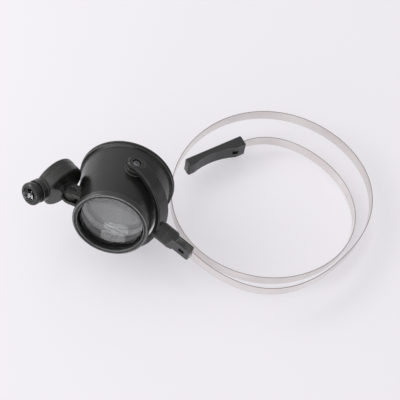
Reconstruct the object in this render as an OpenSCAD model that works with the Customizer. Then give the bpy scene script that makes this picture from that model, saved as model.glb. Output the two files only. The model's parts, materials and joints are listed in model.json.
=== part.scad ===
/* [Loupe barrel] */
// Outside diameter of the eye cup rim
rim_d = 46.4; // [42:0.1:54]
// Length of the loupe from the rim to the front ring face
loupe_len = 34.4; // [32:0.1:40]
// Outside diameter of the front ring
front_d = 36; // [35.5:0.5:40]
// Diameter of the two lenses
lens_d = 32.2; // [30:0.2:33]
// Wall of the barrel at its front end
front_wall = 1.25; // [1:0.05:2.5]
// Wall of the barrel along its middle
barrel_wall = 2.3; // [1.6:0.1:3]
// Thickness of the flange behind the barrel
flange_t = 1.2; // [1:0.1:3]
// Step of the flange out from the barrel
flange_step = 1.1; // [1:0.1:3]
// Length of the vent slot round the barrel
vent_w = 3; // [1.5:0.1:5]
// Width of the vent slot along the barrel
vent_h = 2; // [1:0.1:3]

/* [Eye cup and lenses] */
// Thickness of the eye cup rim
cup_t = 1.5; // [1.3:0.1:4]
// Width of the rounded outer edge of the rim
rim_roll = 0.9; // [0.5:0.05:1.2]
// Height of the rounded outer edge of the rim
rim_edge = 0.5; // [0.3:0.05:0.8]
// Gap line between the eye cup rim and the barrel flange
seam_gap = 0.4; // [0.3:0.1:1.5]
// Length of the eye cup skirt inside the barrel
skirt_len = 5.3; // [3:0.1:7]
// Wall of the eye cup skirt
skirt_wall = 1.4; // [1:0.1:2]
// Length of the front ring that shows
ring_len = 3; // [2:0.1:5]
// Length of the front ring skirt inside the barrel
ring_skirt = 1.35; // [1:0.05:3]
// Wall of the front ring skirt
ring_wall = 0.8; // [0.6:0.05:1.2]
// Edge thickness of each lens
lens_edge = 2; // [1.5:0.1:3]
// Height of each lens dome over its edge
lens_sag = 1.8; // [1:0.1:2.2]
// Length of the spacer between the lenses
spacer_len = 5.6; // [4.6:0.1:7]
// Width of the flat band round each lens
lens_land = 1.6; // [1.2:0.1:2.5]

/* [Yoke] */
// Distance of the pivots ahead of the rim
pivot_z = 14.6; // [13.5:0.1:17]
// Inner half width of the yoke at the pivots
yoke_half = 21.9; // [21.5:0.1:24]
// Inner reach of the yoke from the pivot axis to the stem
yoke_reach = 22.2; // [22:0.1:24.5]
// Thickness of the yoke strap
strap_t = 2.5; // [2.2:0.1:4]
// Width of the yoke strap
strap_w = 8; // [6:0.1:10]
// Diameter of the yoke eyes
eye_d = 8.8; // [7:0.1:10]
// Diameter of the stem
stem_d = 9; // [7.5:0.1:10]
// Length of the stem outside the strap
stem_len = 4.1; // [1.5:0.1:6]

/* [Pivot and swivel screws] */
// Diameter of the pivot screw heads
head_d = 3.5; // [3:0.1:4.5]
// Height of the screw heads
head_h = 1.1; // [0.8:0.1:1.4]
// Clearance round a pivot screw head in its seat
head_room = 0.5; // [0.15:0.05:0.8]
// Depth of the pivot screw heads under the yoke's face
head_sink = 0.4; // [0.2:0.05:0.6]
// Diameter of the pivot screw shanks
shank_d = 2.4; // [2:0.1:3]
// Diameter of the pivot screw threads
thread_d = 2; // [1.6:0.1:2.4]
// Length of the pivot screw threads
thread_len = 3.4; // [2:0.1:3.6]
// Diameter of the swivel screw head
swivel_head_d = 4.4; // [4:0.1:5.5]
// Diameter of the swivel screw shank
swivel_d = 2.8; // [2.2:0.1:3.4]
// Length of the swivel screw thread in the clip
swivel_thread = 4.2; // [3:0.1:4.4]

/* [Band clip] */
// Length of the round collar of the clip
collar_len = 2.4; // [1.5:0.1:4]
// Length of the sloped shoulders of the clip
shoulder_len = 2.8; // [2:0.1:4]
// Length of the flat holder of the clip
holder_len = 8.8; // [8:0.1:14]
// Height of the flat holder
holder_h = 8.2; // [7.6:0.1:10]
// Thickness of the flat holder
holder_t = 3.9; // [3.2:0.1:5]
// Width of the catch windows
window_w = 3.2; // [2.8:0.1:4]
// Height of the catch windows
window_h = 2.9; // [2.6:0.1:3.6]
// Distance of a catch window from the mouth
window_in = 4.2; // [3.4:0.1:5]
// Chamfer round the mouth
ease = 0.4; // [0.2:0.05:0.6]

/* [Headband] */
// Length of the spring strip between clip and end piece
band_len = 484; // [440:1:520]
// Height of the strip
band_h = 6.4; // [5:0.1:7]
// Thickness of the strip
band_t = 0.45; // [0.3:0.05:0.7]
// Length of each strip end inside its holder
band_tail = 9; // [7:0.1:9.2]
// Size of the punched holes in the strip
punch = 2.6; // [2:0.1:3]
// Length of the end piece
end_len = 32.5; // [26:0.5:36]
// Height of the end piece
end_h = 8.6; // [7.6:0.1:10]
// Thickness of the end piece where the strip goes in
end_t = 5.9; // [4.5:0.1:7]
// Thickness of the end piece at its waist
end_waist = 3.4; // [2.2:0.1:3.6]
// Thickness of the end piece at its tip
end_tip = 4.7; // [3.4:0.1:6]
// Length of the flat stretch of its side, ahead of the waist
end_flat = 6; // [4:0.1:7]

/* [Lamp drum] */
// Diameter of the lamp drum
drum_d = 22; // [20.6:0.1:22.2]
// Thickness of the fixed part of the drum
drum_t = 5; // [4.8:0.1:6]
// Thickness of the battery cover rim
cover_t = 3.1; // [2.8:0.1:4]
// Wall of the drum floor and of the cover
drum_wall = 1.4; // [1:0.1:1.6]
// Diameter of the coin cells
cell_d = 16; // [15:0.1:16.4]
// Thickness of each coin cell
cell_t = 1.6; // [1.2:0.1:1.6]
// Distance of the drum from the hinge axis
drum_off = 5; // [4.9:0.1:6]
// Drop of the drum's middle below the hinge's middle
drum_drop = 0.5; // [0:0.1:1.2]
// Length of the coin slot in the battery cover
coin_slot = 11; // [8:0.5:14]
// Diameter of the contact spring at the cover
spring_d = 10.4; // [8:0.2:13]
// Diameter of the contact spring at the cell
spring_tip = 3.6; // [2.8:0.1:4.4]

/* [Lamp head] */
// Diameter of the nozzle rings
nozzle_d = 10.8; // [10.4:0.1:11.4]
// Distance of the nozzle base ring from the drum axis
nozzle_z = 11.2; // [11.2:0.1:12]
// Length of the nozzle base ring
neck_len = 2.7; // [2:0.1:3.4]
// Diameter of the turning head's waist
waist_d = 9.4; // [9:0.1:9.8]
// Length of the waist
waist_len = 1.9; // [1.2:0.1:3]
// Length of the front flange of the head
flange_len = 2.6; // [2:0.1:3.5]
// Diameter of the light emitting diode
led_d = 5; // [4.6:0.1:5.2]
// Depth of the recess round the diode
recess_h = 1; // [0.6:0.1:1.4]

/* [Lamp hinge] */
// Distance of the hinge axis from the optical axis
hinge_r = 21.7; // [21.7:0.1:23]
// Distance of the hinge axis ahead of the rim
hinge_z = 25.1; // [24.9:0.1:25.4]
// Diameter of the hinge tabs
tab_d = 8; // [7.2:0.1:8.8]
// Thickness of each hinge tab
tab_t = 1.5; // [1.2:0.1:2.2]
// Diameter of the toothed knuckle
knuckle_d = 6; // [5.4:0.1:6.1]
// Height of the toothed knuckle
knuckle_h = 3.4; // [3:0.1:4.4]
// Number of detent teeth round the knuckle
teeth = 20; // [12:1:24]
// Diameter of the hinge screw
hinge_pin_d = 2; // [1.6:0.1:2.4]

/* [Pose and fits] */
// Lean of the band loop towards the right
band_lean = 6.25; // [0:0.05:12]
// Heading of the clip seen from above
clip_heading = -38.1; // [-60:0.1:0]
// Drop of the clip axis against the loop
clip_drop = 3.3; // [0:0.1:5]
// Turn of the strip where it leaves the clip
mouth_bend = -4.7; // [-6:0.1:6]
// Turn of the yoke about the stem, against the strip
swivel_rest = 21.5; // [-20:0.1:40]
// Tilt of the barrel in the yoke
tilt_rest = 22.3; // [-8:0.1:30]
// Turn of the lamp out from the barrel
lamp_rest = 30.9; // [-40:0.1:31]
// Drop of the strip along its length
band_slope = 0.019; // [0:0.0005:0.03]
// Dip of the strip where it passes behind the rim
band_dip = 6.4; // [5:0.1:8]
// Radial clearance of turning fits
run_gap = 0.05; // [0.02:0.01:0.08]
// Clearance of fixed fits
fit_gap = 0.02; // [0.01:0.01:0.05]

/* [Hidden] */
$fn = 96;

black = [0.11, 0.11, 0.12];
dark = [0.07, 0.07, 0.08];
steel = [0.75, 0.74, 0.72];

// barrel, measured along the optical axis from the rim
rim_r = rim_d / 2;
cup_z = cup_t + seam_gap;
flange_r = rim_r - 0.2;
cone_z = cup_z + flange_t;
cone_r = flange_r - flange_step;
ring_r = front_d / 2;
face_z = loupe_len - ring_len;
lens_r = lens_d / 2;
bore_r = lens_r + 0.15;
front_r = bore_r + front_wall;
lens_z2 = face_z - ring_skirt;
seat_z = lens_z2 - 2 * lens_edge - spacer_len;
ledge_r = lens_r - lens_land + 0.1;
skirt_r = cone_r - 1.95;
skirt_z = cup_z + skirt_len;
function barrel_r(z) = cone_r + (front_r - cone_r) * (z - cone_z) / (face_z - cone_z);

// yoke, measured from the pivot axis
yoke_x0 = (pow(yoke_reach, 2) - pow(yoke_half, 2)) / (2 * yoke_reach);
yoke_ri = yoke_reach - yoke_x0;
yoke_out = yoke_half + strap_t;
yoke_ro = sqrt(pow(yoke_out, 2) + pow(yoke_x0, 2));
pad_y = yoke_half - 0.3;
head_y = yoke_out - head_h - head_sink;
stem_x = yoke_x0 + yoke_ro + stem_len;
collar_x = stem_x + run_gap;
shoulder_x = collar_x + collar_len;
holder_x = shoulder_x + shoulder_len;
mouth_x = holder_x + holder_len;
window_x = mouth_x - window_in;
swivel_seat = yoke_reach + head_h + 0.2;

// strip, a flat spring bent to the radii found at even steps of its length
bend = [115, 35, 100, 38, 54, 48, 50, 39, 54, 46, 31, 59, 24];
steps = 150;
blend_len = 14;
function bend_at(u) = let (k = min(floor(u * 12), 11), f = u * 12 - k)
    (1 - f) / bend[k] + f / bend[k + 1];
dip_at = 0.63 * band_len;
dip_len = 65;
function slope_at(s) = band_slope
    + (tan(clip_drop) - band_slope) * pow(max(0, 1 - s / blend_len), 2)
    + band_dip * 2 * (dip_at - s) / pow(dip_len, 2) * exp(-pow((s - dip_at) / dip_len, 2));
ds = band_len / steps;
heads = [for (i = 0, h = mouth_bend; i <= steps; h = h + bend_at((i + 0.5) / steps) * ds * 180 / PI, i = i + 1) h];
function unit(v) = v / norm(v);
function tangent(i) = unit([cos(heads[i]), sin(heads[i]), -slope_at(i * ds)]);
function rise(i) = unit([0, 0, 1] - tangent(i) * tangent(i)[2]);
path = [for (i = 0, p = [0, 0, 0]; i <= steps;
        p = p + ds * unit(tangent(i) + tangent(min(i + 1, steps))), i = i + 1) p];
end_t_dir = tangent(steps);
end_rise = rise(steps);
end_side = cross(end_rise, end_t_dir);
tail_dir = [cos(clip_drop), 0, -sin(clip_drop)];
tail_rise = [sin(clip_drop), 0, cos(clip_drop)];
run = concat([path[0] - band_tail * tail_dir, path[0] - 0.5 * tail_dir], path,
             [path[steps] + band_tail * end_t_dir]);
function run_rise(j) = j < 2 ? tail_rise : rise(min(steps, j - 2));
function run_side(j) = j < 2 ? [0, 1, 0] : cross(run_rise(j), tangent(min(steps, j - 2)));
function flat(p) = [p[0], p[1]];
turn_gap = min([for (i = [0 : 2 : steps - 45], j = [i + 45 : steps]) norm(flat(path[i] - path[j]))]);
echo(least_gap_between_turns = turn_gap - band_t);

// lamp, measured from the hinge axis
drum_r = drum_d / 2;
cover_r = drum_r + 0.1;
seam_x = drum_off + drum_t;
cover_x = seam_x + run_gap;
lamp_x = cover_x + cover_t;
cavity_r = cell_d / 2 + 0.6;
spigot_r = drum_r - 1.05;
spigot_x = drum_off + 2.5;
floor_x = drum_off + drum_wall;
disc_t = 0.3;
cells_x = floor_x + disc_t;
spring_x = cells_x + 2 * cell_t;
nozzle_x = drum_off + 4.1;
nozzle_r = nozzle_d / 2;
neck_z = nozzle_z + neck_len;
neck_floor = nozzle_z + 0.8;
waist_z = neck_z + run_gap;
flange_z = waist_z + waist_len;
head_z = flange_z + flange_len;
led_r = led_d / 2;
led_base = neck_floor + 0.5;
led_step = led_base + 1;
socket_r = 3.95;
lead_y = 1.27;
tab_y = knuckle_h / 2 + run_gap;
tab_out = tab_y + tab_t;

// heights that set the whole piece down on the table
function roty(a) = [[cos(a), 0, sin(a)], [0, 1, 0], [-sin(a), 0, cos(a)]];
function rotx(a) = [[1, 0, 0], [0, cos(a), -sin(a)], [0, sin(a), cos(a)]];
function rotz(a) = [[cos(a), -sin(a), 0], [sin(a), cos(a), 0], [0, 0, 1]];
band_m = roty(band_lean) * rotz(clip_heading);
yoke_m = band_m * roty(clip_drop) * rotx(90 - swivel_rest);
loupe_m = yoke_m * roty(tilt_rest);
pivot_p = band_m * roty(clip_drop) * [-mouth_x, 0, 0];
rim_p = pivot_p + loupe_m * [0, 0, -pivot_z];
rim_low = rim_p[2] + min([for (e = [[rim_r - rim_roll, 0], [rim_r, rim_edge]])
    e[1] * loupe_m[2][2] - e[0] * sqrt(1 - pow(loupe_m[2][2], 2))]);
band_low = min([for (i = [0 : steps]) (band_m * (path[i] - rise(i) * band_h / 2))[2]
    - band_t / 2 * abs((band_m * cross(rise(i), tangent(i)))[2])]);
lift = -min(rim_low, band_low);
echo(rim_over_band = rim_low - band_low, lift = lift);
// middle of the piece seen from above
mid_x = 6.11;
mid_y = 33.72;

module place_band() translate([-mid_x, -mid_y, lift]) rotate([0, band_lean, 0])
    rotate([0, 0, clip_heading]) children();
module place_clip() place_band() rotate([0, clip_drop, 0]) translate([-mouth_x, 0, 0]) children();
module place_yoke() place_clip() rotate([90 - swivel_rest, 0, 0]) children();
module place_loupe() place_yoke() rotate([0, tilt_rest, 0]) translate([0, 0, -pivot_z]) children();
module place_lamp() place_loupe() translate([-hinge_r, 0, hinge_z]) rotate([0, -lamp_rest, 0]) children();
module place_drum() place_lamp() translate([0, -drum_drop, 0]) children();
module place_end() place_band() multmatrix([
    [end_t_dir[0], end_side[0], end_rise[0], path[steps][0]],
    [end_t_dir[1], end_side[1], end_rise[1], path[steps][1]],
    [end_t_dir[2], end_side[2], end_rise[2], path[steps][2]],
    [0, 0, 0, 1]]) children();

// round bars along each axis, with an optional chamfer on the far end
module along_x(r, x0, x1, c = 0) translate([x0, 0, 0]) rotate([0, 90, 0]) bar(r, x1 - x0, c);
module along_y(r, y0, y1, c = 0) translate([0, y0, 0]) rotate([-90, 0, 0]) bar(r, y1 - y0, c);
module along_z(r, z0, z1, c = 0) translate([0, 0, z0]) bar(r, z1 - z0, c);
module bar(r, h, c) {
    if (c > 0) rotate_extrude() polygon([[0, 0], [r, 0], [r, h - c], [r - c, h], [0, h]]);
    else cylinder(r = r, h = h);
}
module block(x0, x1, y0, y1, z0, z1) translate([x0, y0, z0]) cube([x1 - x0, y1 - y0, z1 - z0]);

module clip_outline(size) linear_extrude(3 * stem_d, center = true) polygon([
    [collar_x - 1, -stem_d], [shoulder_x, -stem_d], [shoulder_x, -stem_d / 2], [holder_x, -size / 2],
    [mouth_x - ease, -size / 2], [mouth_x, ease - size / 2], [mouth_x, size / 2 - ease],
    [mouth_x - ease, size / 2], [holder_x, size / 2], [shoulder_x, stem_d / 2], [shoulder_x, stem_d],
    [collar_x - 1, stem_d]]);

module band_clip() color(black) place_clip() difference() {
    intersection() {
        union() {
            along_x(stem_d / 2, collar_x, holder_x);
            block(holder_x - 1, mouth_x + 1, -holder_t, holder_t, -holder_h, holder_h);
        }
        clip_outline(holder_t);
        rotate([90, 0, 0]) clip_outline(holder_h);
    }
    along_x(swivel_d / 2 - 0.2 + fit_gap, collar_x - 1, collar_x + swivel_thread + 0.1);
    difference() {
        block(mouth_x - band_tail - 0.1, mouth_x + 1, -band_t / 2 - run_gap, band_t / 2 + run_gap,
              -band_h / 2 - run_gap, band_h / 2 + run_gap);
        block(window_x - punch / 2 + 0.2, window_x + punch / 2 - 0.2, -band_t / 2 + 0.1, holder_t,
              0.2 - punch / 2, punch / 2 - 0.2);
    }
    block(window_x - window_w / 2, window_x + window_w / 2, -holder_t, -band_t / 2,
          -window_h / 2, window_h / 2);
}

last = 4 * (steps + 3);
module headband() color(steel) place_band() difference() {
    polyhedron(
        points = [for (j = [0 : steps + 3], c = [[-1, -1], [1, -1], [1, 1], [-1, 1]])
            run[j] + c[0] * run_side(j) * band_t / 2 + c[1] * run_rise(j) * band_h / 2],
        faces = concat([[0, 1, 2], [0, 2, 3]],
            [for (j = [0 : steps + 2], k = [0 : 3]) [j * 4 + k, j * 4 + 4 + k, j * 4 + (k + 1) % 4]],
            [for (j = [0 : steps + 2], k = [0 : 3])
                [j * 4 + (k + 1) % 4, j * 4 + 4 + k, j * 4 + 4 + (k + 1) % 4]],
            [[last, last + 2, last + 1], [last, last + 3, last + 2]]));
    rotate([0, clip_drop, 0]) block(-window_in - punch / 2, -window_in + punch / 2, -1, 1, -punch / 2, punch / 2);
    multmatrix([
        [end_t_dir[0], end_side[0], end_rise[0], path[steps][0]],
        [end_t_dir[1], end_side[1], end_rise[1], path[steps][1]],
        [end_t_dir[2], end_side[2], end_rise[2], path[steps][2]],
        [0, 0, 0, 1]])
        block(window_in + 1.6 - punch / 2, window_in + 1.6 + punch / 2, -1, 1, -punch / 2, punch / 2);
}

module end_piece() color(black) place_end() difference() {
    intersection() {
        linear_extrude(end_h, center = true) polygon([
            [0, 0.6 - end_t / 2], [0.6, -end_t / 2], [end_len - 0.8, -end_t / 2 + 0.3],
            [end_len, -end_t / 2 + 1.1], [end_len, end_tip - end_t / 2 - 0.5],
            [end_len - 0.8, end_tip - end_t / 2 + 0.3], [end_len * 0.75, end_tip - end_t / 2],
            [end_flat, end_t / 2], [0.6, end_t / 2], [0, end_t / 2 - 0.6]]);
        rotate([90, 0, 0]) linear_extrude(3 * end_t, center = true) polygon([
            [0, 0.5 - end_h / 2], [0.5, -end_h / 2], [end_len - 0.7, -end_h / 2], [end_len, 0.7 - end_h / 2],
            [end_len, end_h / 2 - 0.7], [end_len - 0.7, end_h / 2], [0.5, end_h / 2], [0, end_h / 2 - 0.5]]);
    }
    translate([end_len * 0.57, end_waist - end_t / 2 + 36, 0]) cylinder(r = 36, h = 2 * end_h, center = true, $fn = 360);
    difference() {
        block(-1, band_tail + 0.1, -band_t / 2 - run_gap, band_t / 2 + run_gap,
              -band_h / 2 - run_gap, band_h / 2 + run_gap);
        block(window_in + 1.6 - punch / 2 + 0.2, window_in + 1.6 + punch / 2 - 0.2, -end_t, band_t / 2 - 0.1,
              0.2 - punch / 2, punch / 2 - 0.2);
    }
    block(window_in + 1.6 - window_w / 2, window_in + 1.6 + window_w / 2, band_t / 2, end_t,
          -window_h / 2, window_h / 2);
}

module swivel_screw() color(dark) place_clip() difference() {
    union() {
        along_x(swivel_head_d / 2, yoke_reach + 0.2, swivel_seat);
        along_x(swivel_d / 2, swivel_seat - 0.01, collar_x);
        along_x(swivel_d / 2 - 0.2, collar_x - 0.01, collar_x + swivel_thread);
    }
    for (a = [0, 90]) rotate([a, 0, 0])
        block(yoke_reach, yoke_reach + 0.8, -1.3, 1.3, -0.25, 0.25);
}

module yoke() color(black) place_yoke() difference() {
    union() {
        intersection() {
            translate([yoke_x0, 0, 0]) rotate_extrude() polygon([
                [yoke_ri, 0.3 - strap_w / 2], [yoke_ri + 0.3, -strap_w / 2],
                [yoke_ro - 0.6, -strap_w / 2], [yoke_ro, 0.6 - strap_w / 2],
                [yoke_ro, strap_w / 2 - 0.6], [yoke_ro - 0.6, strap_w / 2],
                [yoke_ri + 0.3, strap_w / 2], [yoke_ri, strap_w / 2 - 0.3]]);
            block(0, 2 * yoke_ro, -2 * yoke_ro, 2 * yoke_ro, -strap_w, strap_w);
        }
        for (m = [0, 1]) mirror([0, m, 0]) along_y(eye_d / 2, yoke_half, yoke_out, 0.5);
        along_x(stem_d / 2, yoke_reach + 0.8, stem_x, 0.2);
    }
    for (m = [0, 1]) mirror([0, m, 0]) {
        along_y(shank_d / 2 + run_gap, yoke_half - 1, yoke_out);
        along_y(head_d / 2 + head_room, head_y, yoke_out + 1);
        along_y(eye_d / 2, yoke_half - 2, yoke_half);
    }
    along_x(swivel_d / 2 + run_gap, yoke_reach, stem_x + 1);
    along_x(swivel_head_d / 2 + 0.15, yoke_reach - 2, swivel_seat);
    rotate([0, tilt_rest, 0]) translate([0, 0, -pivot_z]) rotate_extrude() polygon([
        [0, cone_z], [cone_r + run_gap, cone_z], [front_r + run_gap, face_z], [0, face_z]]);
}

module bracket_block(g) block(-rim_r, -bore_r - 0.45 + g, -tab_out - g, tab_out + g,
    hinge_z - tab_d / 2 - g, hinge_z + tab_d / 2 + g);

module barrel() color(black) place_loupe() difference() {
    union() {
        rotate_extrude() polygon([
            [skirt_r + fit_gap, cup_z], [flange_r, cup_z], [flange_r, cone_z - 0.5], [flange_r - 0.5, cone_z],
            [cone_r + 0.3, cone_z], [cone_r, cone_z + 0.4], [front_r, face_z], [bore_r, face_z],
            [bore_r, seat_z], [ledge_r, seat_z], [ledge_r, seat_z - 1.6],
            [barrel_r(seat_z - 3) - barrel_wall, seat_z - 3],
            [skirt_r - skirt_wall, skirt_z], [skirt_r + fit_gap, skirt_z]]);
        for (m = [0, 1]) mirror([0, m, 0]) translate([0, 0, pivot_z])
            along_y(eye_d / 2 - 0.2, barrel_r(pivot_z) - 1.6, pad_y);
    }
    for (m = [0, 1]) mirror([0, m, 0]) translate([0, 0, pivot_z]) {
        along_y(thread_d / 2 + fit_gap, pad_y - thread_len - 0.1, pad_y + 1);
        along_y(eye_d / 2 + 0.3, pad_y, yoke_out);
    }
    bracket_block(fit_gap);
    rotate([0, 0, 11]) block(cone_r - 3, rim_r, -vent_w / 2, vent_w / 2, cone_z + 0.3, cone_z + 0.3 + vent_h);
}

module eye_cup() color(dark) place_loupe() rotate_extrude() polygon([
    [rim_r - 2.6, 0], [rim_r - rim_roll, 0], [rim_r, rim_edge], [rim_r, cup_t - 0.4], [rim_r - 0.4, cup_t],
    [rim_r - 1, cup_t], [rim_r - 1, cup_z], [skirt_r, cup_z], [skirt_r, skirt_z],
    [skirt_r - skirt_wall, skirt_z], [skirt_r - skirt_wall, cup_z + 2], [rim_r - 3.1, 0.5]]);

module lens_ring() color(black) place_loupe() rotate_extrude() polygon([
    [ring_r, face_z], [ring_r, face_z + 1], [ring_r - 0.4, face_z + 1.2], [ring_r - 0.4, face_z + 1.5],
    [ring_r, face_z + 1.7], [ring_r, loupe_len - 0.5], [ring_r - 0.5, loupe_len],
    [bore_r - ring_wall + 0.3, loupe_len], [bore_r - ring_wall - fit_gap, loupe_len - 0.4],
    [bore_r - ring_wall - fit_gap, lens_z2], [bore_r - fit_gap, lens_z2], [bore_r - fit_gap, face_z]]);

module lens(z0) {
    dome_r = lens_r - lens_land;
    ball_r = (pow(dome_r, 2) + pow(lens_sag, 2)) / (2 * lens_sag);
    along_z(lens_r, z0, z0 + lens_edge);
    intersection() {
        along_z(dome_r, z0 - lens_sag - 1, z0 + lens_edge + lens_sag + 1);
        translate([0, 0, z0 + lens_edge + lens_sag - ball_r]) sphere(r = ball_r, $fn = 200);
        translate([0, 0, z0 - lens_sag + ball_r]) sphere(r = ball_r, $fn = 200);
    }
}

module front_lens() color([0.8, 0.85, 0.9, 0.35]) place_loupe() lens(lens_z2 - lens_edge);
module rear_lens() color([0.8, 0.85, 0.9, 0.35]) place_loupe() lens(seat_z);
module lens_spacer() color(dark) place_loupe() difference() {
    along_z(lens_r, seat_z + lens_edge, seat_z + lens_edge + spacer_len);
    along_z(lens_r - 1, seat_z, lens_z2);
}

module pivot_screws() color(dark) place_loupe() for (m = [0, 1]) mirror([0, m, 0])
    translate([0, 0, pivot_z]) difference() {
        union() {
            along_y(head_d / 2, head_y + fit_gap, head_y + head_h, 0.2);
            along_y(shank_d / 2, pad_y, head_y + 0.1);
            along_y(thread_d / 2, pad_y - thread_len, pad_y + 0.1);
        }
        for (a = [0, 90]) rotate([0, a, 0])
            block(-1, 1, head_y + head_h - 0.6, head_y + head_h + 1, -0.2, 0.2);
    }

module lamp_bracket() color(black) place_loupe() difference() {
    union() {
        intersection() {
            bracket_block(0);
            rotate_extrude() polygon([[0, cone_z + 0.4], [cone_r, cone_z + 0.4], [front_r, face_z], [0, face_z]]);
        }
        for (m = [0, 1]) mirror([0, m, 0]) {
            translate([-hinge_r, 0, hinge_z]) along_y(tab_d / 2, tab_y, tab_out, 0.3);
            block(-hinge_r, -bore_r - 0.5, tab_y, tab_out, hinge_z - tab_d / 2 + 0.3, hinge_z + tab_d / 2 - 0.3);
        }
    }
    translate([-hinge_r, 0, hinge_z]) {
        along_y(hinge_pin_d / 2 + fit_gap, -tab_out - 1, tab_out + 1);
        along_y(hinge_pin_d / 2 + 0.8, tab_out - 0.8, tab_out + 1);
    }
}

module hinge_screw() color(dark) place_loupe() translate([-hinge_r, 0, hinge_z]) difference() {
    union() {
        along_y(hinge_pin_d / 2, -tab_out + 0.3, tab_out - 0.7);
        along_y(hinge_pin_d / 2 + 0.6, tab_out - 0.8 + fit_gap, tab_out - 0.15);
    }
    block(-2, 2, tab_out - 0.5, tab_out, -0.2, 0.2);
}

module lamp_housing() color(black) place_drum() difference() {
    union() {
        rotate([0, -90, 0]) rotate_extrude() polygon([
            [0, drum_off], [drum_r - 0.6, drum_off], [drum_r, drum_off + 0.6], [drum_r, seam_x],
            [spigot_r + run_gap, seam_x], [spigot_r + run_gap, spigot_x - run_gap],
            [cavity_r, spigot_x - run_gap], [cavity_r, floor_x], [0, floor_x]]);
        difference() {
            translate([-nozzle_x, 0, 0]) along_z(nozzle_r, drum_r - 3, nozzle_z);
            along_x(drum_r - 0.5, -seam_x, 0);
            along_x(cover_r + 0.3, -lamp_x - 5, -seam_x);
        }
        translate([0, drum_drop, 0]) {
            along_y(knuckle_d / 2, -knuckle_h / 2, knuckle_h / 2);
            block(-drum_off - 0.4, 0.8 - knuckle_d / 2, -knuckle_h / 2, knuckle_h / 2, -2.2, 2.2);
        }
    }
    along_y(hinge_pin_d / 2 + run_gap, -knuckle_h, 2 * knuckle_h);
    for (k = [0 : teeth - 1]) if (abs(((k * 360 / teeth) % 360) - 180) > 50)
        rotate([0, k * 360 / teeth, 0]) translate([knuckle_d / 2, 0, 0]) rotate([0, 45, 0])
            cube([0.5, knuckle_h + 1, 0.5], center = true);
    for (y = [-lead_y, lead_y]) translate([-nozzle_x, y, 0]) along_z(0.4, drum_r - 1.5, nozzle_z + 1);
}

module lamp_neck() color(black) place_drum() translate([-nozzle_x, 0, 0]) difference() {
    along_z(nozzle_r, nozzle_z, neck_z, 0.3);
    along_z(socket_r, neck_floor, neck_z + 1);
    for (y = [-lead_y, lead_y]) translate([0, y, 0]) along_z(0.4, nozzle_z - 1, neck_z);
}

module contact_disc() color([0.8, 0.65, 0.3]) place_drum() along_x(5, -cells_x, -floor_x);

module coin_cells() color([0.8, 0.8, 0.82]) place_drum() for (k = [0, 1])
    along_x(cell_d / 2, -cells_x - (k + 1) * cell_t, -cells_x - k * cell_t - 0.01 * k);

module led() color([0.9, 0.95, 1, 0.5]) place_drum() translate([-nozzle_x, 0, 0]) {
    along_z(led_r + 0.4, led_base, led_step);
    along_z(led_r, led_step - 0.1, head_z + 0.1);
    translate([0, 0, head_z + 0.1]) intersection() {
        sphere(r = led_r);
        along_z(led_r + 1, 0, led_r + 1);
    }
}

module led_seat() color(dark) place_drum() translate([-nozzle_x, 0, 0]) difference() {
    along_z(led_r + 0.4, neck_floor, led_base);
    for (y = [-lead_y, lead_y]) translate([0, y, 0]) along_z(0.4, neck_floor - 1, led_base + 1);
}

module led_leads() color(steel) place_drum() for (y = [-lead_y, lead_y])
    translate([-nozzle_x, y, 0]) along_z(0.25, drum_r - 0.6, led_base);

module battery_cover() color(black) place_drum() difference() {
    rotate([0, -90, 0]) rotate_extrude() polygon([
        [spigot_r, spigot_x], [spigot_r, cover_x], [cover_r, cover_x], [cover_r, lamp_x - 0.7],
        [cover_r - 0.7, lamp_x], [0, lamp_x], [0, lamp_x - drum_wall], [cavity_r, lamp_x - drum_wall],
        [cavity_r, spigot_x]]);
    block(-lamp_x - 1, -lamp_x + 0.6, -coin_slot / 2, coin_slot / 2, -0.7, 0.7);
}

module contact_spring() color([0.8, 0.65, 0.3]) place_drum() rotate([0, -90, 0])
    rotate_extrude() polygon([
        [spring_d / 2, lamp_x - drum_wall], [spring_d / 2 - 0.4, lamp_x - drum_wall],
        [spring_tip / 2, spring_x + 0.3], [spring_tip / 2 - 0.6, spring_x + 0.3],
        [spring_tip / 2 - 0.6, spring_x], [spring_tip / 2 + 0.2, spring_x],
        [spring_d / 2, lamp_x - drum_wall - 0.3]]);

module lamp_head() color(black) place_drum() translate([-nozzle_x, 0, 0]) rotate_extrude() polygon([
    [led_r + 0.4 + run_gap, neck_floor + run_gap], [socket_r - run_gap, neck_floor + run_gap],
    [socket_r - run_gap, waist_z], [waist_d / 2, waist_z], [waist_d / 2, flange_z - 0.4],
    [waist_d / 2 + 0.2, flange_z], [nozzle_r - 0.3, flange_z], [nozzle_r, flange_z + 0.4],
    [nozzle_r, head_z - 0.7], [nozzle_r - 0.7, head_z], [led_r + 1.1, head_z],
    [led_r + 0.9, head_z - recess_h], [led_r + run_gap, head_z - recess_h],
    [led_r + run_gap, led_step + run_gap], [led_r + 0.4 + run_gap, led_step + run_gap]]);

band_clip();
headband();
end_piece();
swivel_screw();
yoke();
barrel();
eye_cup();
lens_ring();
front_lens();
lens_spacer();
rear_lens();
pivot_screws();
lamp_bracket();
hinge_screw();
lamp_housing();
lamp_neck();
contact_disc();
coin_cells();
led();
led_seat();
led_leads();
battery_cover();
contact_spring();
lamp_head();
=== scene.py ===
import json
import math

import bmesh
import bpy
from mathutils import Matrix, Vector


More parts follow.
